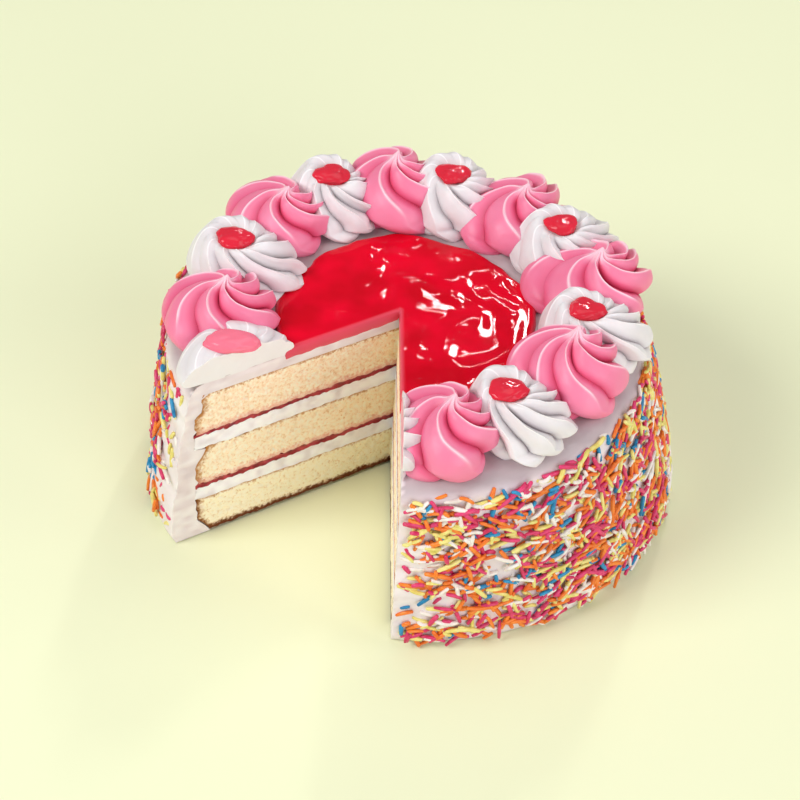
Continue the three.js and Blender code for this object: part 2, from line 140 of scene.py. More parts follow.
# %% From sheets of points to a mesh
SAME_POINT = 0.002 * MM  # points closer than this are joined
SHORTEST_EDGE = 0.001 * MM


def sheet_faces(rows, columns, first, wrap=False):
    """Faces between neighbouring points of a sheet whose first point has that number."""
    steps = columns if wrap else columns - 1
    down, across = np.meshgrid(np.arange(rows - 1), np.arange(steps), indexing="ij")
    beside = (across + 1) % columns
    corners = (down * columns + across, down * columns + beside,
               (down + 1) * columns + beside, (down + 1) * columns + across)
    return (np.stack(corners, axis=-1) + first).reshape(-1, 4)


def make_piece(name, sheets, marks=None, sharp=40):
    """One object from sheets, each (points, wrap), and values per point stored under a name."""
    points, faces, first = [], [], 0
    for sheet, wrap in sheets:
        rows, columns = sheet.shape[:2]
        points.append(sheet.reshape(-1, 3))
        faces.append(sheet_faces(rows, columns, first, wrap))
        first += rows * columns
    mesh = bpy.data.meshes.new(name)
    mesh.from_pydata(np.concatenate(points) * MM, [], np.concatenate(faces).tolist())
    for mark, values in (marks or {}).items():
        layer = mesh.attributes.new(mark, "FLOAT", "POINT")
        flat = np.concatenate([value.reshape(-1) for value in values])
        layer.data.foreach_set("value", flat.astype(np.float32))
    tidy_mesh(mesh, sharp)
    piece = bpy.data.objects.new(name, mesh)
    bpy.context.scene.collection.objects.link(piece)
    return piece


def tidy_mesh(mesh, sharp):
    """Joins touching edges, turns all faces outward and shades the surface smoothly."""
    work = bmesh.new()
    work.from_mesh(mesh)
    bmesh.ops.remove_doubles(work, verts=work.verts, dist=SAME_POINT)
    bmesh.ops.dissolve_degenerate(work, edges=work.edges, dist=SHORTEST_EDGE)
    bmesh.ops.recalc_face_normals(work, faces=work.faces)
    work.to_mesh(mesh)
    work.free()
    mesh.shade_smooth()
    mesh.set_sharp_from_angle(angle=math.radians(sharp))
    mesh.update()


# %% [markdown]
# A material is a small network of nodes. One function adds a node and returns the output that
# the next one links to, so that a material reads as a list of steps. A socket is given a number,
# a link from another node, or a colour as sRGB hex, as it is picked from a picture. Blender
# counts in linear light, so hex is turned to linear in one place.

# %% Colours and nodes
def linear(hex_colour):
    parts = [int(hex_colour[i : i + 2], 16) / 255 for i in (1, 3, 5)]
    return [p / 12.92 if p <= 0.04045 else ((p + 0.055) / 1.055) ** 2.4 for p in parts] + [1.0]


def add(tree, kind, sockets=None, out=0, stops=(), **settings):
    """Adds a node with its settings, sockets and a colour ramp's stops, and returns one output."""
    node = tree.nodes.new("ShaderNode" + kind)
    for name, value in settings.items():
        setattr(node, name, value)
    for key, value in (sockets or {}).items():
        if isinstance(value, bpy.types.NodeSocket):
            tree.links.new(value, node.inputs[key])
        else:
            node.inputs[key].default_value = linear(value) if isinstance(value, str) else value
    for count, (position, colour) in enumerate(stops):
        ramp = node.color_ramp.elements
        stop = ramp[count] if count < len(ramp) else ramp.new(position)
        stop.position, stop.color = position, linear(colour)
    return node.outputs[out] if node.outputs else node


def noise(tree, place, size, detail, **more):
    """Noise with clouds of about a size in mm."""
    return add(tree, "TexNoise", {"Vector": place, "Scale": 1 / (size * MM), "Detail": detail, **more})


def bump(tree, height, strength, depth, **more):
    """Relief too fine for the mesh, up to a depth in mm."""
    return add(tree, "Bump", {"Height": height, "Strength": strength, "Distance": depth * MM, **more})


def surface(tree, colour, rough, index, soft=None, **more):
    """Ends a material. soft is how much light goes in, how far in mm, and how far each colour goes."""
    sockets = {"Base Color": colour, "Roughness": rough, "IOR": index, **more}
    if soft:
        sockets["Subsurface Weight"], reach, sockets["Subsurface Radius"] = soft
        sockets["Subsurface Scale"] = reach * MM
    add(tree, "OutputMaterial", {"Surface": add(tree, "BsdfPrincipled", sockets)})


def new_material(name):
    """An empty material and its tree of nodes."""
    material = bpy.data.materials.new(name)
    material.use_nodes = True
    material.node_tree.nodes.clear()
    return material, material.node_tree


BODY = next(iter(frame["bodies"]))
print("everything rides on the body", BODY)


def dress(piece, material, slot, *nodes):
    """Gives a piece its material and its body, and hides the solid model's nodes it stands for. slot is not
    used.
    """
    piece.data.materials.append(material)
    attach(piece, BODY)
    if nodes:
        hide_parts(*nodes)


# %% [markdown]
# The camera stands in front of the cake and a little to its left, looking down on it at about
# 43 degrees, through a 90 mm lens. Its place is in the same frame as the cake, so the view
# stays right whatever is changed below.

# %% Camera
CAMERA_PLACE = Vector((-33.45, -505.10, 507.11))
CAMERA_RIGHT = Vector((0.99867, -0.00652, 0.05112))
CAMERA_UP = Vector((-0.03256, 0.68908, 0.72396))
CAMERA_LENS, CAMERA_SENSOR = 90, 36
NEAREST_SEEN = 0.01  # in metres


def set_camera():
    data = bpy.data.cameras.new("camera")
    data.lens, data.sensor_width = CAMERA_LENS, CAMERA_SENSOR
    data.clip_start = NEAREST_SEEN
    camera = bpy.data.objects.new("camera", data)
    bpy.context.scene.collection.objects.link(camera)
    right, up = CAMERA_RIGHT.normalized(), CAMERA_UP.normalized()
    turn = Matrix((right, up, right.cross(up))).transposed()
    camera.matrix_world = Matrix.Translation(CAMERA_PLACE * MM) @ turn.to_4x4()
    bpy.context.scene.camera = camera


# %% [markdown]
# The picture is lit like a studio food shot: one large soft light from the upper left, a weaker
# one from the right that fills the shadows, and a long one behind the cake whose mirror image
# makes the bright streaks on the jelly. The floor is plain, pale and wide.

# %% Light and floor
LIGHTS = [
    # name, place in mm, width and depth in mm, power in watts, colour
    ("key softbox", (-1150, -500, 1150), (750, 750), 18.0, "#FFFFFF"),
    ("top softbox", (100, 300, 1600), (900, 900), 5.0, "#FFFFFF"),
    ("fill softbox", (750, -1450, 650), (1100, 1100), 12.6, "#F8F5FF"),
    ("side softbox", (1300, -250, 700), (700, 700), 5.5, "#FFFFFF"),
    ("back window", (215, 800, 760), (50, 170), 1.5, "#FFFFFF"),
    ("back strip", (110, 850, 800), (90, 14), 0.25, "#FFFFFF"),
]
AIM = Vector((0, 0, 45))
ROOM_COLOUR, ROOM_LIGHT = "#FBFAFF", 0.22
FLOOR_COLOUR = "#ECF0C8"
FLOOR_REACH = 4000
FLOOR_GAP = 0.4  # how far the floor lies under the cake


def set_light():
    for name, place, (width, depth), power, colour in LIGHTS:
        data = bpy.data.lights.new(name, "AREA")
        data.shape = "RECTANGLE"
        data.size, data.size_y = width * MM, depth * MM
        data.energy = power
        data.color = linear(colour)[:3]
        lamp = bpy.data.objects.new(name, data)
        lamp.location = Vector(place) * MM
        lamp.rotation_euler = (Vector(place) - AIM).to_track_quat("Z", "Y").to_euler()
        bpy.context.scene.collection.objects.link(lamp)
    world = bpy.data.worlds.new("studio")
    bpy.context.scene.world = world
    world.use_nodes = True
    room = world.node_tree.nodes["Background"].inputs
    room["Color"].default_value, room["Strength"].default_value = linear(ROOM_COLOUR), ROOM_LIGHT
    bpy.context.scene.view_settings.view_transform = "Standard"


def lay_floor():
    reach = FLOOR_REACH
    corners = np.array([[[-reach, -reach, 0], [reach, -reach, 0]],
                        [[-reach, reach, 0], [reach, reach, 0]]], float)
    floor = make_piece("floor", [(corners, False)])
    material, tree = new_material("matt painted board")
    surface(tree, FLOOR_COLOUR, 0.9, 1.5)
    floor.data.materials.append(material)
    floor.location.z = -FLOOR_GAP * MM


set_camera()
set_light()
lay_floor()

# %% [markdown]
# The cake's outside is an oval foot, a smaller round top and a rounded shoulder. The wedge is
# cut from a point near the middle, so every layer is built round that point, from the right-hand
# cut face to the left-hand one. These are the driving sizes, the same as the solid model's.

# %% The cake's outside
CAKE_HEIGHT = 69.3
FOOT_ACROSS = 184
FOOT_DEEP = 174
TOP_RADIUS = 80.5
TOP_CENTRE = np.array([-5.2, -4.4])
SHOULDER = 7
WALL_TOP = CAKE_HEIGHT - SHOULDER
WALL_SWELL = 1.0
CORNER_SWELL, CORNER_ANGLE, CORNER_SPREAD = 4.2, 206, 15
WEDGE_POINT = np.array([-7.8, -2.9])
WEDGE_FROM, WEDGE_TO = 210, 270
RIGHT_FACE = math.radians(WEDGE_TO)
LEFT_FACE = math.radians(WEDGE_FROM + 360)
COAT_INSET = 0.7  # the coat lies this far inside the solid, so the strands on it stay in the box
AIM_STEPS = 8  # how often a direction is corrected


def turn_between(first, second):
    """The shortest way round from one angle to another."""
    return np.arctan2(np.sin(second - first), np.cos(second - first))


def wall_spot(angle, height):
    """The wall in a direction from its own middle, at a height."""
    rise = np.clip(height / WALL_TOP, 0, 1)
    wide, deep = FOOT_ACROSS / 2, FOOT_DEEP / 2
    oval = wide * deep / np.hypot(deep * np.cos(angle), wide * np.sin(angle))
    away = turn_between(math.radians(CORNER_ANGLE), angle) / math.radians(CORNER_SPREAD)
    foot = oval + CORNER_SWELL * np.exp(-(away**2))
    reach = foot + (TOP_RADIUS - foot) * rise + WALL_SWELL * np.sin(np.pi * rise) - COAT_INSET
    return TOP_CENTRE * rise[..., None] + unit(angle) * reach[..., None]


def wall_from_point(direction, height):
    """The wall in a direction from the wedge's point: the angle is found step by step."""
    angle = direction
    for _ in range(AIM_STEPS):
        seen = wall_spot(angle, height) - WEDGE_POINT
        angle = angle + turn_between(np.arctan2(seen[..., 1], seen[..., 0]), direction)
    return wall_spot(angle, height)


def lifted(flat, height):
    """Flat points with a height added as their third number."""
    return np.concatenate([flat, np.broadcast_to(height, flat.shape[:-1])[..., None]], axis=-1)


print("the wall's reach at the foot, to the right:", wall_spot(np.array([0.0]), np.array([0.0])).round(1))

# %% [markdown]
# The stack inside is sponge, cream, jam, sponge, cream, jam, sponge. Two functions say where a
# layer's edge is and how high the border between two layers lies. Every piece that meets a
# border asks the same function, so neighbours fit together even where the border wanders.

# %% The stack of layers
STACK_CENTRE = np.array([-6.5, -5.5])
STACK_RADIUS = 76.6
STACK_UNEVEN = 0.9
LAYER_WAVE = 0.5
CREAM = 5.7
JAM = 1.8
# Each layer's side as (share of the way up, share of the reach).
STRAIGHT = [(0, 1), (1, 1)]
CRUSTED = [(0, 0.935), (0.4, 0.99), (0.75, 1), (1, 1)]
SLANTED = [(0, 0.985), (0.2, 1), (0.5, 1), (1, 0.945)]
NOTCHED = [(0, 0.99), (0.4, 1), (0.52, 0.975), (0.56, 0.955), (0.85, 0.962), (1, 0.945)]
LAYERS = [
    ("sponge_bottom", 16.75, CRUSTED),
    ("cream_lower", CREAM, STRAIGHT),
    ("jam_lower", JAM, STRAIGHT),
    ("sponge_middle", 16.15, SLANTED),
    ("cream_upper", CREAM, STRAIGHT),
    ("jam_upper", JAM, STRAIGHT),
    ("sponge_top", 15.95, NOTCHED),
]
LEVELS = np.concatenate([[0], np.cumsum([thick for _, thick, _ in LAYERS])])
CEILING = LEVELS[-1]


def stack_reach(direction):
    """How far the stack reaches from the wedge's point."""
    offset = WEDGE_POINT - STACK_CENTRE
    along = unit(direction) @ offset
    uneven = STACK_UNEVEN * (0.55 * np.sin(3 * direction + 1) + 0.45 * np.sin(7 * direction))
    return np.sqrt(along**2 - offset @ offset + STACK_RADIUS**2) - along + uneven


def layer_edge(index, direction, side):
    """The reach of one layer at a share of the way up its side."""
    heights, shares = zip(*LAYERS[index][2])
    spot = lifted(np.stack([direction * 70, side * 16], axis=-1), 9 * index)
    crumble = 0.5 * lumps(spot, 2.2) + 0.5 * lumps(spot, 5)
    return stack_reach(direction) * np.interp(side, heights, shares) + crumble - 0.3


def border(index, direction, share):
    """The height of the border under a layer, at a share of the reach."""
    spot = WEDGE_POINT + unit(direction) * (share * stack_reach(direction))[..., None]
    place = lifted(spot, 31.0 * index)
    rough = 0.4 * lumps(place, 6) + 0.35 * lumps(place, 1.9)
    if index == 0:
        return 0.7 + 0.35 * lumps(place, 3, 9) + 0.35 * lumps(place, 1.3, 9)
    if index % 3 != 1:  # where jam meets sponge it soaks in unevenly
        rough = rough + 0.5 * lumps(place, 1.1)
        if index % 3 == 0:  # the jam thins out towards the side
            rough = rough - 0.25 * JAM * smooth(share, 0.3, 1)
    slow = 0.6 * np.sin(2 * direction + index * 1.9) + 0.4 * np.sin(5 * direction + index * 2.7)
    return LEVELS[index] + LAYER_WAVE * share * slow + (rough if index < len(LAYERS) else 0)


print("borders between the layers, in mm:", LEVELS.round(1))

# %% [markdown]
# A layer is a closed solid with two cut faces. The faces are fine sheets, because the crumb on
# them shows from close by. The skin round the rest is coarse, as the icing hides it. The relief
# on a face fades out at its border, where it meets the skin.

# %% Building a layer
FACE_STEP = 0.55
SKIN_COLUMNS = 31
FADE = 1.2 * FACE_STEP


def layer_spot(index, direction, share, side):
    """A point of a layer: its share of the reach and its share of the way up."""
    low, high = border(index, direction, share), border(index + 1, direction, share)
    flat = WEDGE_POINT + unit(direction) * (share * layer_edge(index, direction, side))[..., None]
    return lifted(flat, low + (high - low) * side)


def face_normal(direction):
    """Which way a cut face looks: out into the missing wedge."""
    turn = -1 if direction == RIGHT_FACE else 1
    return turn * np.array([-math.sin(direction), math.cos(direction), 0])


def make_layer(index, relief):
    """One layer. relief gives the height of its cut faces, in mm, at points on them."""
    name, thick, _ = LAYERS[index]
    across = np.linspace(0, 1, round(STACK_RADIUS / FACE_STEP) + 1)
    up = np.linspace(0, 1, max(3, round(thick / FACE_STEP)) + 1)
    side, share = np.meshgrid(up, across, indexing="ij")
    parts = []  # each sheet with its shares of the way up and its distances from the rim
    for direction in (RIGHT_FACE, LEFT_FACE):
        around = np.full(share.shape, direction)
        spots = layer_spot(index, around, share, side)
        reach = stack_reach(around)
        gaps = [share * reach, (1 - share) * reach, side * thick, (1 - side) * thick]
        fade = smooth(np.minimum.reduce(gaps), 0, FADE)
        spots = spots + face_normal(direction) * (relief(spots) * fade)[..., None]
        parts.append((spots, side, (1 - share) * reach))
    loop_share = np.concatenate([across, np.ones(len(up)), across[::-1]])
    loop_side = np.concatenate([np.zeros(len(across)), up, np.ones(len(across))])
    around = np.linspace(RIGHT_FACE, LEFT_FACE, SKIN_COLUMNS)
    share, direction = np.meshgrid(loop_share, around, indexing="ij")
    side = np.broadcast_to(loop_side[:, None], share.shape)
    skin = layer_spot(index, direction, share, side)
    parts.append((skin, side, (1 - share) * stack_reach(direction)))
    sheets, sides, ends = zip(*parts)
    marks = {"top_mm": [(1 - side) * thick for side in sides], "end_mm": ends,
             "base_mm": [side * thick for side in sides],
             "crest": [0.5 + 0.5 * lumps(sheet, 2.6, 10) for sheet in sheets]}
    return make_piece(name + "_cut", [(sheet, False) for sheet in sheets], marks)


def crumb_relief(spots):
    """Sponge: open pores where gas bubbles were cut through, between finer grains."""
    wide, fine = lumps(spots, 1.5, 3) - 0.25, lumps(spots, 0.9, 4) - 0.2
    pores = np.maximum(0, wide) + 0.6 * np.maximum(0, fine)
    return -0.9 * pores + 0.15 * lumps(spots, 4.0, 5)


def cream_relief(spots):
    """Cream: dragged a little by the knife, with the odd bubble."""
    dragged = lumps(spots * np.array([1, 1, 2.5]), 3.5, 6)
    bubbles = np.maximum(0, lumps(spots, 1.3, 7) - 0.35)
    return 0.2 * dragged + 0.12 * lumps(spots, 1.4, 8) - 0.5 * bubbles


def jam_relief(spots):
    """Jam: soft beads that stand a little back from the cut."""
    return -0.35 + 0.3 * lumps(spots, 1.6, 8)


# %% [markdown]
# **Sponge** is baked foam: thousands of small bubbles in a yellow crumb, matt because its open
# surface scatters light. The knife shows it as fine grain with darker pores. Where the batter
# touched hot air or the tin it browned: a thin line on top, a darker side, and on the lowest
# round a dark, crumbly bottom crust. The mesh stores how far each point is from those edges in
# millimetres, and the colour follows those distances, broken up by noise.

# %% Sponge
CRUMB_LIGHT, CRUMB_DARK = "#FFF6DC", "#E2B67C"
CRUMB_MID = {0: "#FFF2CE", 3: "#FFE7C2", 6: "#FCDEBA"}  # the lowest round is the yellowest
BROWNED, BAKED_DARK, JAM_STAIN = "#B4742F", "#6A3410", "#E8988A"
# Each edge as (stored distance, full colour to there, none from there, strength, colour).
OUTER_EDGES = [("top_mm", 0.1, 1.3, 0.75, BROWNED), ("end_mm", 0.5, 3.0, 0.95, BROWNED)]
BOTTOM_CRUST = [("base_mm", 0.9, 3.2, 0.9, BROWNED), ("base_mm", 1.1, 2.3, 1.0, BAKED_DARK),
                ("end_mm", 0, 1.8, 0.9, BAKED_DARK)]
SOAKED_BASE = [("base_mm", 0.3, 2.6, 0.65, JAM_STAIN)]


def sponge_material(count):
    material, tree = new_material("baked crumb of the " + LAYERS[count][0].replace("_", " "))
    place = add(tree, "TexCoord", out="Object")
    fine = noise(tree, place, 1.2, 3, Roughness=0.7)
    broad = noise(tree, place, 7, 2)
    stops = [(0.28, CRUMB_DARK), (0.44, CRUMB_MID[count]), (0.64, CRUMB_LIGHT)]
    colour = add(tree, "ValToRGB", {"Fac": fine}, stops=stops)
    wander = add(tree, "MapRange", {"Value": broad, "To Min": -0.8, "To Max": 0.8})
    for mark, full, none, strength, stain in OUTER_EDGES + (SOAKED_BASE if count else BOTTOM_CRUST):
        distance = add(tree, "Attribute", out="Fac", attribute_name=mark)
        moved = add(tree, "Math", {0: distance, 1: wander}, operation="ADD")
        speckle = add(tree, "Math", {0: fine, 1: 0.5}, operation="SUBTRACT")
        grainy = add(tree, "Math", {0: speckle, 1: 5.0, 2: moved}, operation="MULTIPLY_ADD")
        near = add(tree, "MapRange", {"Value": grainy, "From Min": full, "From Max": none,
                                      "To Min": strength, "To Max": 0})
        colour = add(tree, "Mix", {0: near, 6: colour, 7: stain}, out=2, data_type="RGBA")
    relief = bump(tree, fine, 0.6, 0.5)
    surface(tree, colour, 0.85, 1.4, (0.12, 1.5, (1.0, 0.6, 0.3)), Normal=relief)
    return material


for count in CRUMB_MID:
    sponge = make_layer(count, crumb_relief)
    dress(sponge, sponge_material(count), "sponge", LAYERS[count][0])
    print(sponge.name, len(sponge.data.polygons), "faces")

# %% [markdown]
# **Whipped cream** is a foam of fat and air. Light goes in a millimetre or two and comes out
# again, so its shadows are soft and faintly warm, and its surface has a low, satin gloss. Fat
# has an index of refraction near 1.45. **Jam** is a wet gel, glossy and dark where it is thick.

# %% Cream and jam between the sponges
def cream_material(name, stops, shine=0.42, scatter=1.5, warmth=(1.0, 0.75, 0.65)):
    """Cream coloured by a stored value: low for painted shade in creases, high for painted light on ridges,
    random wander for uneven tone.
    """
    material, tree = new_material(name)
    place = add(tree, "TexCoord", out="Object")
    crest = add(tree, "Attribute", out="Fac", attribute_name="crest")
    cloud = noise(tree, place, 9, 1)
    soft = add(tree, "MapRange", {"Value": cloud, "To Min": -0.08, "To Max": 0.08})
    height = add(tree, "Math", {0: crest, 1: soft}, operation="ADD", use_clamp=True)
    colour = add(tree, "ValToRGB", {"Fac": height}, stops=stops)
    air = noise(tree, place, 0.8, 2)
    drag = noise(tree, place, 5, 1)
    relief = bump(tree, air, 0.12, 0.3, Normal=bump(tree, drag, 0.4, 0.8))
    surface(tree, colour, shine, 1.45, (0.2, scatter, warmth), Normal=relief)
    return material


JAM_STOPS = [(0.3, "#741620"), (0.5, "#9C242C"), (0.72, "#BE424A")]
FILLING_STOPS = [(0.1, "#E6DEE2"), (0.5, "#FAF6F9"), (0.8, "#FFFFFF")]


def jam_material():
    material, tree = new_material("strawberry jam")
    place = add(tree, "TexCoord", out="Object")
    thick = noise(tree, place, 3.0, 2)
    colour = add(tree, "ValToRGB", {"Fac": thick}, stops=JAM_STOPS)
    surface(tree, colour, 0.3, 1.4, Normal=bump(tree, thick, 0.5, 0.4))
    return material


filling_cream = cream_material("whipped cream filling", FILLING_STOPS)
strawberry_jam = jam_material()
for count in (1, 4):
    dress(make_layer(count, cream_relief), filling_cream, "cream", LAYERS[count][0])
for count in (2, 5):
    dress(make_layer(count, jam_relief), strawberry_jam, "jam", LAYERS[count][0])
print("the stack is", round(float(CEILING), 1), "mm high")

# %% [markdown]
# **The coat of icing** is the same cream, spread with a palette knife. Its outside runs from the
# foot up the wall, round the shoulder and in to the wedge's point; its inside follows the stack.
# At each cut a ribbon of cream shows between the two. On the wall the knife left long, low
# streaks, so the relief there is stretched along the wall; the top is smoother.

# %% The coat
COAT_COLUMNS = 281
WALL_ROWS, SHOULDER_ROWS, TOP_ROWS, RIBBON_ROWS = 56, 10, 34, 12
FOOT_TUCK, TUCK_HEIGHT = 1.4, 3.5  # the coat's lowest part turns in under it
# The low stop is painted shade, used over the coat's shoulder and top; the upper stops are the icing's own,
# unevenly white tone.
ICING_STOPS = [(0, "#B9A9AB"), (0.5, "#E4D6D8"), (1, "#F5EEEE")]


def coat_edge(direction, height):
    """The reach of the stack at a height, which is the inside of the coat."""
    reach = layer_edge(len(LAYERS) - 1, direction, np.ones_like(direction))
    for index in range(len(LAYERS)):
        low, high = LEVELS[index], LEVELS[index + 1]
        here = (height >= low) & (height < high)
        side = np.clip((height - low) / (high - low), 0, 1)
        reach = np.where(here, layer_edge(index, direction, side), reach)
    return reach


def wall_relief(direction, height):
    along = direction * TOP_RADIUS
    streaks = 0.7 * lumps(np.stack([along / 2.4, height], axis=-1), 3.8, 11)
    dabs = 0.4 * lumps(np.stack([along / 1.5, height], axis=-1), 1.9, 12)
    return (streaks + dabs) * smooth(CAKE_HEIGHT - height, -2, 8) * (0.3 + 0.7 * smooth(height, 2, 14))


def coat_spot(direction, run):
    """A place a run of mm up the wall and over the shoulder, and which way the coat faces there."""
    turn = np.clip((run - WALL_TOP) / SHOULDER, 0, np.pi / 2)
    height = np.minimum(run, WALL_TOP)
    flat = wall_from_point(direction, height) - unit(direction) * (SHOULDER * (1 - np.cos(turn)))[..., None]
    facing = lifted(unit(direction) * np.cos(turn)[..., None], np.sin(turn))
    return lifted(flat, height + SHOULDER * np.sin(turn)), facing


def coat_sheets():
    around = np.linspace(RIGHT_FACE, LEFT_FACE, COAT_COLUMNS)
    runs = np.concatenate([np.linspace(0, WALL_TOP, WALL_ROWS),
                           WALL_TOP + SHOULDER * np.linspace(0, np.pi / 2, SHOULDER_ROWS)[1:]])
    run, direction = np.meshgrid(runs, around, indexing="ij")
    side, facing = coat_spot(direction, run)
    tuck = FOOT_TUCK * (1 - smooth(run, 0, TUCK_HEIGHT))
    side = side + facing * (wall_relief(direction, run) - tuck)[..., None]
    side[0, :, 2] = 0
    share, direction_in = np.meshgrid(np.linspace(1, 0, TOP_ROWS)[1:], around, indexing="ij")
    top = WEDGE_POINT + (side[-1, :, :2] - WEDGE_POINT) * share[..., None]
    rise = (0.3 * lumps(top, 26, 13) + 0.12 * lumps(top, 8, 14)) * smooth(1 - share, 0, 0.06)
    outer = np.concatenate([side, lifted(top, CAKE_HEIGHT + rise)])
    low, way = np.minimum(run[:WALL_ROWS], CEILING - 0.05), direction[:WALL_ROWS]
    inner_wall = lifted(WEDGE_POINT + unit(way) * coat_edge(way, low)[..., None], low)
    corner = np.broadcast_to(inner_wall[-1], (SHOULDER_ROWS - 1, COAT_COLUMNS, 3))
    reach = share * coat_edge(direction_in, np.full_like(direction_in, CEILING))
    ceiling = WEDGE_POINT + unit(direction_in) * reach[..., None]
    ceiling = lifted(ceiling, border(len(LAYERS), direction_in, share))
    return outer, np.concatenate([inner_wall, corner, ceiling])


def make_coat():
    outer, inner = coat_sheets()
    part = np.linspace(0, 1, RIBBON_ROWS + 1)[:, None, None]
    sheets = [(outer, False), (inner, False), (inner[0] * (1 - part) + outer[0] * part, False)]
    inside = np.pad(np.ones(len(outer) - 2), 1)  # the relief ends where the ribbon meets the foot
    for column, direction in ((0, RIGHT_FACE), (-1, LEFT_FACE)):
        ribbon = inner[None, :, column] * (1 - part) + outer[None, :, column] * part
        relief = 1.2 * cream_relief(ribbon) * np.sin(np.pi * part[..., 0]) * inside
        sheets.append((ribbon + face_normal(direction) * relief[..., None], False))
    crest = [0.75 + 0.25 * lumps(sheet, 9, 15) for sheet, _ in sheets[:3]]
    crest += [0.7 + 0.35 * lumps(sheet * [1, 1, 1.6], 3.2, 15) for sheet, _ in sheets[3:]]
    # Painted shade: the coat is made darker over the shoulder and across the top.
    crest[0] -= 0.75 * smooth(outer[..., 2], WALL_TOP - 1, CAKE_HEIGHT - 1)
    return make_piece("icing_coat", sheets, {"crest": crest}, sharp=50)


coat = make_coat()
icing_cream = cream_material("whipped cream icing", ICING_STOPS, shine=0.4)
dress(coat, icing_cream, "icing", "icing")
print(coat.name, len(coat.data.polygons), "faces")

# %% [markdown]
# **Rosettes** are piped through a star nozzle held upright and turned once round. Each point of
# the star leaves a rib that starts at the peak and swings round on its way down to the foot.
# A rib has a thin crest, a steep drop into a crease, and a broad round back that climbs to the
# next crest. The sheet below has columns that follow the ribs, so the crests stay sharp with
# few faces. No two ribs or rosettes are alike, as they were piped by hand.

# %% The ribs of a rosette
PINK_RIBS, WHITE_RIBS = 7, 10
RIB_TURN = math.radians(112)
RIB_DEPTH = 2.1
RIB_ON_TOP = 0.76
RIB_UNEVEN = 0.2
SHELL_WIDER = 0.35  # how much wider the ribs are on the shallow side
RIDGE, RIDGE_SHARE = 0.4, 0.035  # the thin lip on a crest: its height in mm and its share of a rib
WAIST = 0.25
OVALNESS = 0.07
CREASE = 0.42  # where the crease lies between one crest, at 0, and the next, at 1
ACROSS_RIB = np.array([0, 0.02, 0.045, 0.08, 0.13, 0.19, 0.25, 0.31, 0.36, 0.395, 0.42, 0.44, 0.47, 0.52,
                       0.58, 0.65, 0.72, 0.79, 0.85, 0.9, 0.94, 0.965, 0.985])
ROSETTE_ROWS = 64
# Profiles from the middle to the foot as (share of the radius, share of the height).
ROUND_FOOT = [(1, WAIST), (0.96, 0.08), (0.86, 0)]
PEAKED = [(0, 1), (0.12, 0.93), (0.3, 0.85), (0.62, 0.7), (0.89, 0.48), *ROUND_FOOT]
DISHED = [(0, 0.86), (0.2, 0.87), (0.42, 0.93), (0.66, 0.8), (0.92, 0.52), *ROUND_FOOT]
SHELL_ANGLE = 150  # the side where the ribs are shallow, away from where the nozzle left
# The lip behind a drop: its side, its lift on a rosette of that height, and its profile.
HOOD_ANGLE, HOOD_LIFT, HOOD_FOR, HOOD_SHARE, HOOD_SPREAD = 130, 3.2, 15, 0.6, 0.24
TIP_SHARE, TIP_HEIGHT, TIP_LEAN = 0.09, 1.8, 0.8


def curve_through(points, count):
    """A smooth curve through a few points, as count points (Catmull and Rom's spline)."""
    knots = np.array([points[0], *points, points[-1]], float)
    where = np.linspace(0, len(points) - 1 - 1e-9, count)
    first = where.astype(int)
    t = (where - first)[:, None]
    a, b, c, d = (knots[first + i] for i in range(4))
    return 0.5 * (2 * b + (c - a) * t + (2 * a - 5 * b + 4 * c - d) * t**2 + (3 * b - a - 3 * c + d) * t**3)


def rib_height(across, roundness):
    """A rib's section from -1 in the crease to 1 at the crest, turning into a round lobe at the foot."""
    drop = 1 - 2 * np.clip(across / CREASE, 0, 1) ** 0.85
    climb = -1 + 2 * np.sin(np.pi / 2 * np.clip((across - CREASE) / (1 - CREASE), 0, 1)) ** 0.75
    lobe = -1 + 2 * np.abs(np.sin(np.pi * (across - CREASE))) ** 0.7
    return np.where(across < CREASE, drop, climb) * (1 - roundness) + lobe * roundness


def rib_values(draw, low, high, rib, across):
    """A random value for each rib, blended from one crest to the next."""
    values = draw.uniform(low, high, rib.max() + 1)
    share = smooth(across, CREASE, 1)
    return values[rib] * (1 - share) + values[(rib + 1) % len(values)] * share


def facing_share(angle, towards):
    """How far a point of a rosette faces a direction in degrees, from 0 to 1."""
    return np.maximum(0, np.cos(angle - math.radians(towards)))


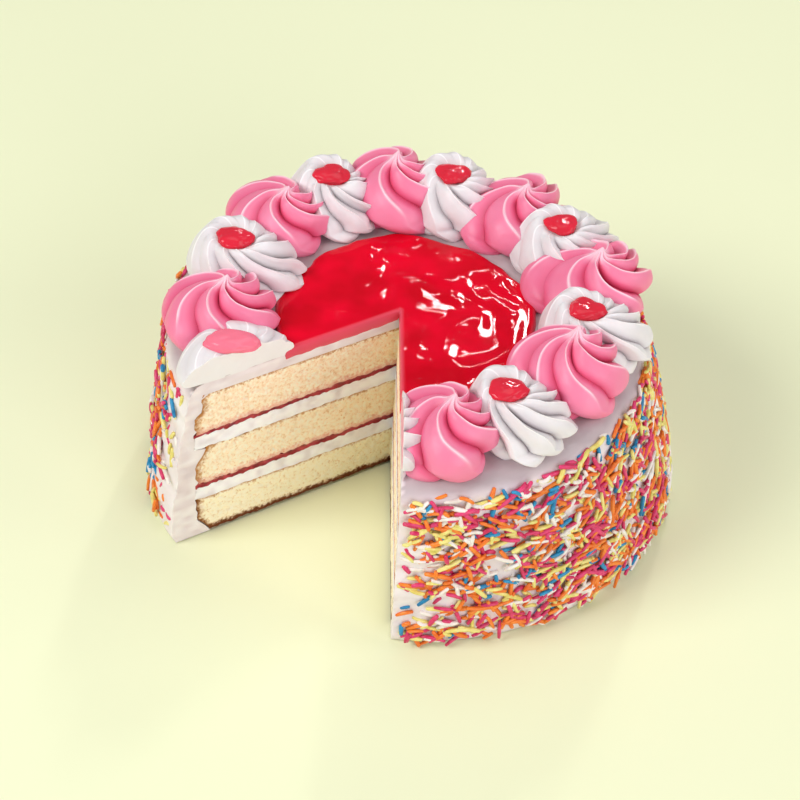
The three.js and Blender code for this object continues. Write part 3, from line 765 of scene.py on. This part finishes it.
def rosette_sheet(row, dished, seed):
    """The surface of one rosette, and its painted shade and light: low in the creases, high on the ridge
    lips and near the peak.
    """
    draw = np.random.default_rng(seed)
    ribs = WHITE_RIBS if dished else PINK_RIBS
    profile = curve_through(DISHED if dished else PEAKED, ROSETTE_ROWS)
    slope = np.gradient(profile * [row["radius"], row["height"]], axis=0)
    normal = np.stack([-slope[:, 1], slope[:, 0]], axis=1)
    normal /= np.linalg.norm(normal, axis=1)[:, None]
    across = np.tile(ACROSS_RIB, ribs)[None, :]
    rib = np.repeat(np.arange(ribs), len(ACROSS_RIB))[None, :]
    share, rise = profile[:, :1], profile[:, 1:]
    crest_angle = np.arange(ribs) / ribs * FULL_TURN + math.radians(row["start"]) + 0.5 * RIB_TURN
    wider = SHELL_WIDER * np.cos(crest_angle - math.radians(SHELL_ANGLE))
    widths = 1 + RIB_UNEVEN * draw.uniform(-1, 1, ribs) + wider
    begin = np.concatenate([[0], np.cumsum(widths)]) / widths.sum() * FULL_TURN
    on_top = RIB_ON_TOP * share**1.15
    under = RIB_ON_TOP + (1 - RIB_ON_TOP) * (1 - rise / WAIST)
    along = np.where(rise >= WAIST, on_top, under)
    roundness = np.where(rise >= WAIST, smooth(share, 0.84, 1) * 0.7, 0.7)
    height = rib_height(across, roundness) * rib_values(draw, 0.8, 1.2, rib, across)
    twist = rib_values(draw, -0.12, 0.12, rib, across) * smooth(share, 0, 0.5)
    angle = begin[rib] + across * (begin[rib + 1] - begin[rib]) + twist
    angle = angle + math.radians(row["start"]) + RIB_TURN * along
    shell = 1 - 0.65 * facing_share(angle, SHELL_ANGLE) ** 0.7
    if dished:
        shell = 0.18 + 0.82 * facing_share(angle, HOOD_ANGLE + 180) ** 0.5
    ridge = np.exp(-((np.minimum(across, 1 - across) / RIDGE_SHARE) ** 2)) * (1 - roundness)
    deepening = smooth(share, 0.3, 0.56) if dished else smooth(share, 0, 0.36)
    depth = RIB_DEPTH * deepening * shell * row["ribbed"]
    lift = height * depth + RIDGE * ridge * smooth(depth, 0, 0.8) * (0.4 + 0.6 * shell)
    outward = math.atan2(*(row["place"] - TOP_CENTRE)[::-1])
    wide = 1 + OVALNESS * np.cos(2 * (angle - outward)) + 0.03 * np.sin(3 * angle + seed)
    flap = rib_values(draw, -0.8, 1.6, rib, across) * smooth(-rise, -0.5, -0.1)
    reach = share * row["radius"] * wide + lift * normal[:, :1] + flap
    above = rise * row["height"] + lift * normal[:, 1:]
    lean_way = np.array(row["lean"], float)
    tip = np.exp(-((share / TIP_SHARE) ** 2)) * (0 if dished else 1)
    if dished:
        hood = HOOD_LIFT * (row["height"] / HOOD_FOR) ** 2 * facing_share(angle, HOOD_ANGLE) ** 0.8
        above = above + hood * np.exp(-(((share - HOOD_SHARE) / HOOD_SPREAD) ** 2))
    else:
        above = above - TIP_HEIGHT * (1 - tip) * smooth(1 - share, 0, 0.5)
    middle = row["place"] + lean_way * rise**2 + TIP_LEAN * tip * lean_way / np.linalg.norm(lean_way + 1e-6)
    flat = middle[:, None, :] + unit(angle) * np.maximum(reach, 0)[..., None]
    spots = lifted(flat, CAKE_HEIGHT + np.maximum(above, -0.5))
    uneven = (0.4 * lumps(spots, 7, seed) + 0.1 * lumps(spots, 2.2, seed)) * smooth(share, 0.1, 0.4)
    spots = spots + 0.5 * uneven[..., None]
    # Painted shade in the creases, and painted light on the thin ridge lips and towards the peak.
    crest = 0.5 + 0.42 * np.clip(height, -1, 0.2) * smooth(share, 0.05, 0.35) * shell
    crest = crest + (0.5 * ridge + 0.4 * (1 - smooth(share, 0.05, 0.3))) * (1 - roundness)
    return spots, np.clip(crest * np.ones_like(angle), 0, 1)


def make_rosette(name, row, dished, seed):
    spots, crest = rosette_sheet(row, dished, seed)
    rim, middle = spots[-1], spots[-1].mean(axis=0)
    foot = np.stack([rim, (rim - middle) * 0.5 + middle, np.broadcast_to(middle, rim.shape)])
    foot[1:, :, 2] = CAKE_HEIGHT - 0.5
    # The closing sheet under the foot gets the deepest painted shade.
    marks = {"crest": [crest, np.zeros(foot.shape[:2])]}
    return make_piece(name, [(spots, True), (foot, True)], marks, sharp=60)


# %% [markdown]
# The ring alternates pink and white. Each row says where a rosette stands: its direction from
# the middle of the top, how far off the ring, its size, where its first rib starts and which way
# its peak leans. Pink ones are taller; white ones are dished by the drop of jelly on them.

# %% Where the rosettes stand
ROSETTE_RING = 60.5
KEYS = ("at", "off", "radius", "height", "start", "lean", "drop", "ribbed")
PINK_ROSETTES = [
    (184.5, 2.9, 16.6, 19.5, 20, (3, 1), 0, 1),
    (135, 4.6, 16.8, 19.0, 75, (4, -1), 0, 1),
    (95, 2, 18.0, 21.5, 10, (1, 1), 0, 1),
    (53.5, 2.5, 18.0, 19.5, 50, (3, 0), 0, 1),
    (14.5, 1.5, 19.6, 18.0, 95, (4, 3), 0, 1),
    (329, -2.5, 17.4, 21.5, 35, (3, 4), 0, 1),
    (280, -1, 16.8, 20.5, 60, (2, 1), 0, 1),
]
WHITE_ROSETTES = [
    (206.5, 0.5, 18.4, 10.0, 24, (-2.5, 1.5), 1.35, 0.35),
    (159, -1, 17.8, 15.0, 80, (-3, 0), 1, 1),
    (115, 2.5, 16.4, 15.5, 40, (0, 0), 1, 1),
    (75.5, 1.5, 16.8, 16.0, 5, (0, 0), 0.95, 1),
    (33, 4, 17.6, 14.6, 65, (-2, 0), 0.9, 1),
    (350.5, 1, 16.6, 15.5, 25, (-3.5, 0.5), 0.95, 1),
    (304.5, -1, 16.2, 15.5, 92, (-4, 0), 1, 1),
]
LOST_ROSETTE = (258.5, 0, 18.5, 15.5, 50, (0, 0), 0, 1)


def laid_out(values):
    row = dict(zip(KEYS, values))
    row["place"] = TOP_CENTRE + unit(math.radians(row["at"])) * (ROSETTE_RING + row["off"])
    return row


CUT_CREST = 0.75  # the cut face gets one even, fairly pale level of the painted shade-and-light scale


def cut_away(piece, direction, inset=0.0):
    """Cuts off what reaches into the missing wedge, and closes the cut."""
    normal = Vector(face_normal(direction))
    work = bmesh.new()
    work.from_mesh(piece.data)
    everything = work.verts[:] + work.edges[:] + work.faces[:]
    plane = (Vector((*WEDGE_POINT, 0)) - normal * inset) * MM
    cut = bmesh.ops.bisect_plane(work, geom=everything, plane_co=plane, plane_no=normal, clear_outer=True)
    rim = [edge for edge in cut["geom_cut"] if isinstance(edge, bmesh.types.BMEdge)]
    crest = work.verts.layers.float["crest"]
    # The cut's rim takes that even level, so no painted crease shade spreads over the cut face.
    for vert in {vert for edge in rim for vert in edge.verts}:
        vert[crest] = CUT_CREST
    for face in bmesh.ops.holes_fill(work, edges=rim)["faces"]:
        face.smooth = False
        for edge in face.edges:
            edge.smooth = False
    work.to_mesh(piece.data)
    work.free()


# Painted shade at the low stops, for the creases, and painted light at the high stops, for the ridges and
# peaks; the cream's own pink or white lies between.
PINK_STOPS = [(0.05, "#C6385C"), (0.4, "#E8688D"), (0.62, "#F088A7"), (0.95, "#FBCFDA")]
WHITE_STOPS = [(0.05, "#BAB1B3"), (0.42, "#DDD7D7"), (0.95, "#F7F4F3")]
pink_cream = cream_material("pink whipped cream", PINK_STOPS, warmth=(1.0, 0.45, 0.5))
white_cream = cream_material("white whipped cream", WHITE_STOPS)
pinks = [laid_out(row) for row in PINK_ROSETTES]
whites = [laid_out(row) for row in WHITE_ROSETTES]
for count, row in enumerate(pinks, 1):
    rosette = make_rosette(f"rosette_pink_{count}_piped", row, False, count)
    if count == len(pinks):
        cut_away(rosette, RIGHT_FACE)
    dress(rosette, pink_cream, "pink_cream", f"rosette_pink_{count}")
for count, row in enumerate(whites, 1):
    rosette = make_rosette(f"rosette_white_{count}_piped", row, True, 20 + count)
    if count == 1:
        cut_away(rosette, LEFT_FACE)
    dress(rosette, white_cream, "white_cream", f"rosette_white_{count}")
scrap = make_rosette("rosette_white_8_scraps", laid_out(LOST_ROSETTE), True, 40)
cut_away(scrap, RIGHT_FACE, inset=0.15)
dress(scrap, white_cream, "white_cream", "rosette_white_8_inner", "rosette_white_8_outer")
print(len(pinks), "pink and", len(whites), "white rosettes, and what the cut left of one more")

# %% [markdown]
# **Jelly** is a clear, wet gel coloured deep red. Its surface is as smooth as glass, so it shows
# every light as a sharp streak, and each small wave bends the streak. Water gives it an index of
# refraction of about 1.35. The pool was poured and spread with the back of a spoon: its waves
# run in slow arcs, and its edge is round where the gel's skin holds it.

# %% Jelly
POOL_CENTRE = np.array([-5.6, -5.8])
POOL_RADIUS = 43.2
POOL_DEPTH = 2.1
POOL_WAVE = 1.3
POOL_EDGE, POOL_CUT_EDGE = 2.6, 1.2  # how far in the pool is rounded, at its rim and at the cut
DRIP = 1.6  # how far the knife dragged the jelly down the cut
POOL_COLUMNS, POOL_ROWS = 301, 90
DROP_RADIUS, DROP_HEIGHT, DROP_UNEVEN = 6.4, 2.4, 0.08
DROP_DEEP = 0.78  # how deep a drop is, for its width
THICK_DROP, THIN_DROP, PALE_EDGE = 0.12, 0.9, 0.4  # how thin the jelly looks, which makes it pale
WIDE_DROP = 1.3  # from this size on a drop is spread thin


def pool_reach(direction):
    offset = WEDGE_POINT - POOL_CENTRE
    along = unit(direction) @ offset
    wave = POOL_WAVE * (0.6 * np.sin(4 * direction + 1) + 0.4 * np.sin(9 * direction))
    reach = np.sqrt(along**2 - offset @ offset + POOL_RADIUS**2) - along + wave
    return reach + 0.8 * lumps(np.stack([direction * 40, direction * 0], axis=-1), 4.5, 21)


def pool_waves(spots):
    """Slow arcs along the pool's rim, bent by broad swirls, and stronger towards +X."""
    swirl = np.stack([lumps(spots, 15, 26), lumps(spots, 15, 27)], axis=-1)
    away = spots + 5 * swirl - POOL_CENTRE
    reach = np.hypot(away[..., 0], away[..., 1])
    turn = np.arctan2(away[..., 1], away[..., 0])
    arcs = lumps(np.stack([turn * 8, reach], axis=-1), 5.0, 23) * smooth(reach, 10, 20)
    dimples = lumps((spots + 6 * swirl) * [1, 0.55], 4.6, 24)
    side = 0.3 + 0.7 * smooth(spots[..., 0], -24, 0)
    return (0.36 * arcs + 0.2 * dimples + 0.02 * lumps(spots + 2 * swirl, 2.3, 25)) * side


def make_pool():
    around = np.linspace(RIGHT_FACE, LEFT_FACE, POOL_COLUMNS)
    share, direction = np.meshgrid(np.linspace(0, 1, POOL_ROWS) ** 0.9, around, indexing="ij")
    reach = share * pool_reach(direction)
    flat = WEDGE_POINT + unit(direction) * reach[..., None]
    from_rim = (1 - share) * pool_reach(direction)
    from_cut = reach * np.minimum(np.sin(np.minimum(direction - RIGHT_FACE, math.pi / 2)),
                                  np.sin(np.minimum(LEFT_FACE - direction, math.pi / 2)))
    rounding = np.sqrt(1 - (1 - np.clip(from_rim / POOL_EDGE, 0, 1)) ** 2)
    rounding = rounding * (0.6 + 0.4 * np.sqrt(1 - (1 - np.clip(from_cut / POOL_CUT_EDGE, 0, 1)) ** 2))
    waves = pool_waves(flat) * smooth(from_rim, 0, 5) * smooth(from_cut, 0, 3)
    top = lifted(flat, CAKE_HEIGHT + 0.25 + POOL_DEPTH * rounding + waves)
    base = lifted(flat, CAKE_HEIGHT - 0.3)
    sheets = [top, base, np.stack([top[-1], base[-1]])]
    for column, face in ((0, RIGHT_FACE), (-1, LEFT_FACE)):
        run = DRIP + 0.6 * lumps(base[:, column], 2.5, 28)
        inside = np.pad(np.ones(POOL_ROWS - 2), 1)[:, None]
        drip = [base[:, column] + (face_normal(face) * out - np.outer(run * part, (0, 0, 1))) * inside
                for out, part in ((0.35, 0.0), (0.3, 0.6), (0.02, 1.0))]
        sheets.append(np.stack([top[:, column], *drip, base[:, column]]))
    thin = [PALE_EDGE - PALE_EDGE * smooth(np.minimum(from_rim, from_cut), 0, 1.6)]
    thin += [np.full(sheet.shape[:2], PALE_EDGE) for sheet in sheets[1:]]
    return make_piece("jelly_pool_poured", [(sheet, False) for sheet in sheets], {"thin": thin}, sharp=70)


def make_drop(name, row, seed):
    rise, turn = np.meshgrid(np.linspace(-np.pi / 2, np.pi / 2, 33),
                             np.linspace(0, FULL_TURN, 49)[:-1], indexing="ij")
    round_off = np.sign(np.cos(rise)) * np.abs(np.cos(rise)) ** 0.8
    ball = lifted(unit(turn) * round_off[..., None], np.sin(rise))
    uneven = 1 + DROP_UNEVEN * np.sin(3 * turn + 5 * math.radians(row["start"]))
    dents = 1 + 0.13 * lumps(ball * 6, 3.2, seed) + 0.05 * lumps(ball * 6, 1.4, seed)
    flat = ball[..., :2] * (DROP_RADIUS * row["drop"] * uneven * dents)[..., None]
    flat = flat * [1, DROP_DEEP / row["drop"]]
    middle = row["place"] + np.array(row["lean"], float)
    base = CAKE_HEIGHT + row["height"] * DISHED[0][1] + 1.5
    spots = lifted(flat + middle, base + DROP_HEIGHT * ball[..., 2] * dents)
    thin = np.full(rise.shape, THICK_DROP if row["drop"] < WIDE_DROP else THIN_DROP)
    return make_piece(name, [(spots, True)], {"thin": [thin]}, sharp=180)


def jelly_material():
    material, tree = new_material("poured strawberry jelly")
    place = add(tree, "TexCoord", out="Object")
    cloud = noise(tree, place, 14, 2)
    deep = add(tree, "ValToRGB", {"Fac": cloud}, stops=[(0.35, "#C8001A"), (0.65, "#E20026")])
    thin = add(tree, "Attribute", out="Fac", attribute_name="thin")
    colour = add(tree, "Mix", {0: thin, 6: deep, 7: "#F27E94"}, out=2, data_type="RGBA")
    surface(tree, colour, 0.05, 1.36, (0.12, 1.5, (1.0, 0.08, 0.08)), **{"Specular IOR Level": 0.32})
    return material


jelly = jelly_material()
dress(make_pool(), jelly, "jelly", "jelly_pool")
for count, row in enumerate(whites, 1):
    drop = make_drop(f"jelly_drop_{count}_set", row, 30 + count)
    dress(drop, jelly, "jelly", f"jelly_drop_{count}")
print("a pool and", len(whites), "drops of jelly")

# %% [markdown]
# **Sugar strands** are extruded sugar paste, chopped short: rods under 2 mm thick with round
# ends, slightly bent, in five colours with a satin gloss. They were thrown against the soft
# wall. Most lie flat, sunk a little; where many landed they lie across each other. A map of the
# wall's height remembers what is there already, and each new strand lies on top of it.

# %% Sugar strands
STRAND_LENGTH = (3.2, 8.4)
STRAND_RADIUS = (0.6, 0.85)
STRAND_COUNT = 5200
STRAND_TRIES = 110000
STRAND_LOW, STRAND_HIGH = 1.5, WALL_TOP + 3.5
STRAND_SUNK = (-0.3, 0.45)  # the height of an axis above the wall, from half buried to resting on it
STRAND_PROUDEST = 2.5
STRAND_HEAP = 0.5  # how far above its axis a strand fills the map
ON_HEAP = 0.75  # a strand on others sinks in between them a little
BOX_MARGIN = 0.05
WALL_SLOPE = (FOOT_ACROSS / 2 - TOP_RADIUS) / WALL_TOP
MAP_STEP = 0.5
STRAND_SIDES = 7
STRAND_RINGS = np.array([-1, -1, -0.5, 0, 0.5, 1, 1])  # places along the axis, with two rings at each end
STRAND_CAPS = np.radians([90, 38, 0, 0, 0, 38, 90])
STRAND_COLOURS = [
    # slot and share, colour on top, colour in its shade
    ("sugar_orange", 0.29, "#F68A2A", "#E86A18"),
    ("sugar_pink", 0.27, "#E23E76", "#CC2356"),
    ("sugar_yellow", 0.19, "#F0E48C", "#E0CF66"),
    ("sugar_white", 0.17, "#F5EEE6", "#E6DCD0"),
    ("sugar_blue", 0.08, "#1F93C4", "#1073A4"),
]


def strand_sheets(strands):
    """All strands at once, each as rings of points round a bent axis on the coat."""
    direction, up, tilt, length, radius, above, pitch, bend = (value[:, None] for value in strands.T)
    end = np.sign(STRAND_RINGS) * np.sin(STRAND_CAPS) * radius
    run = STRAND_RINGS * (length / 2 - radius) + end
    arc = direction + np.cos(tilt) * run / TOP_RADIUS
    curve = bend * (run / length) ** 2
    spot, facing = coat_spot(arc, up + np.sin(tilt) * run + curve)
    axis = spot + facing * (above + np.sin(pitch) * run)[..., None]
    along = np.gradient(axis, axis=1)
    along /= np.linalg.norm(along, axis=2)[..., None]
    side = np.cross(along, facing)
    side /= np.linalg.norm(side, axis=2)[..., None]
    over = np.cross(side, along)
    turn = np.linspace(0, FULL_TURN, STRAND_SIDES + 1)[:-1, None]
    ring = np.cos(turn) * side[:, :, None] + np.sin(turn) * over[:, :, None]
    return axis[:, :, None] + ring * (np.cos(STRAND_CAPS) * radius)[:, :, None, None]


def scatter_strands():
    """Drops strands on the wall one by one, each on top of what lies there already."""
    draw = np.random.default_rng(7)
    span = LEFT_FACE - RIGHT_FACE
    heap = np.zeros((int(span * TOP_RADIUS / MAP_STEP), int((STRAND_HIGH + 2) / MAP_STEP)))
    strands = []
    for _ in range(STRAND_TRIES):
        if len(strands) == STRAND_COUNT:
            break
        direction = RIGHT_FACE + span * draw.uniform(0.006, 0.994)
        up = draw.uniform(STRAND_LOW, STRAND_HIGH)
        crowd = lumps(np.array([[direction * TOP_RADIUS / 1.5, up]]), 7, 31)[0]
        bare = smooth(direction, LEFT_FACE - 1.1, LEFT_FACE - 0.3)
        if draw.uniform(-2.4, 1) > crowd - 1.6 * bare:
            continue
        level = (0.45 - 0.3 * smooth(direction, RIGHT_FACE + 0.3, RIGHT_FACE + 1.2)) * (1 - 0.8 * bare)
        tilt = draw.normal(0, 0.4) if draw.random() < level else draw.uniform(-np.pi / 2, np.pi / 2)
        length = draw.uniform(*STRAND_LENGTH)
        run = np.linspace(-0.5, 0.5, 13) * length
        cells = np.stack([(direction - RIGHT_FACE) * TOP_RADIUS + np.cos(tilt) * run,
                          up + np.sin(tilt) * run])
        cells = np.round(cells / MAP_STEP).astype(int)
        if cells.min() < 1 or (cells.max(axis=1) >= np.array(heap.shape) - 1).any():
            continue
        under = heap[cells[0], cells[1]].max()
        above = draw.uniform(*STRAND_SUNK) + ON_HEAP * under
        if above > min(STRAND_PROUDEST, COAT_INSET + WALL_SLOPE * up):
            continue
        pitch = draw.normal(0, 0.06) + (0.16 * draw.uniform(-1, 1) if under > 0 else 0)
        for i, j in itertools.product((-1, 0, 1), repeat=2):
            spots = cells[0] + i, cells[1] + j
            heap[spots] = np.maximum(heap[spots], above + STRAND_HEAP)
        radius = draw.uniform(*STRAND_RADIUS)
        strands.append((direction, up, tilt, length, radius, above, pitch, draw.normal(0, 1.8)))
    return np.array(strands)


def sugar_material(name, light, deep):
    material, tree = new_material(name)
    place = add(tree, "TexCoord", out="Object")
    cloud = noise(tree, place, 3, 2)
    colour = add(tree, "ValToRGB", {"Fac": cloud}, stops=[(0.35, deep), (0.6, light)])
    dust = noise(tree, place, 0.35, 1)
    relief = bump(tree, dust, 0.15, 0.1)
    surface(tree, colour, 0.38, 1.5, (0.1, 0.8, (1.0, 0.2, 0.1)), Normal=relief)
    return material


strands = strand_sheets(scatter_strands())
low, high = (np.array(corner) / MM for corner in cad_box)
fits = ((strands > low + BOX_MARGIN) & (strands < high - BOX_MARGIN)).all(axis=(1, 2, 3))
strands = strands[fits]
mixed = np.random.default_rng(11).permutation(len(strands))
ends = np.round(np.cumsum([share for _, share, _, _ in STRAND_COLOURS]) * len(strands)).astype(int)
for (slot, _, light, deep), chosen in zip(STRAND_COLOURS, np.split(mixed, ends[:-1])):
    piece = make_piece(slot + "_strands", [(strands[i], True) for i in chosen], sharp=180)
    dress(piece, sugar_material(slot.replace("_", " ") + " paste", light, deep), slot, "icing")
    print(piece.name, len(chosen), "strands,", len(piece.data.polygons), "faces")
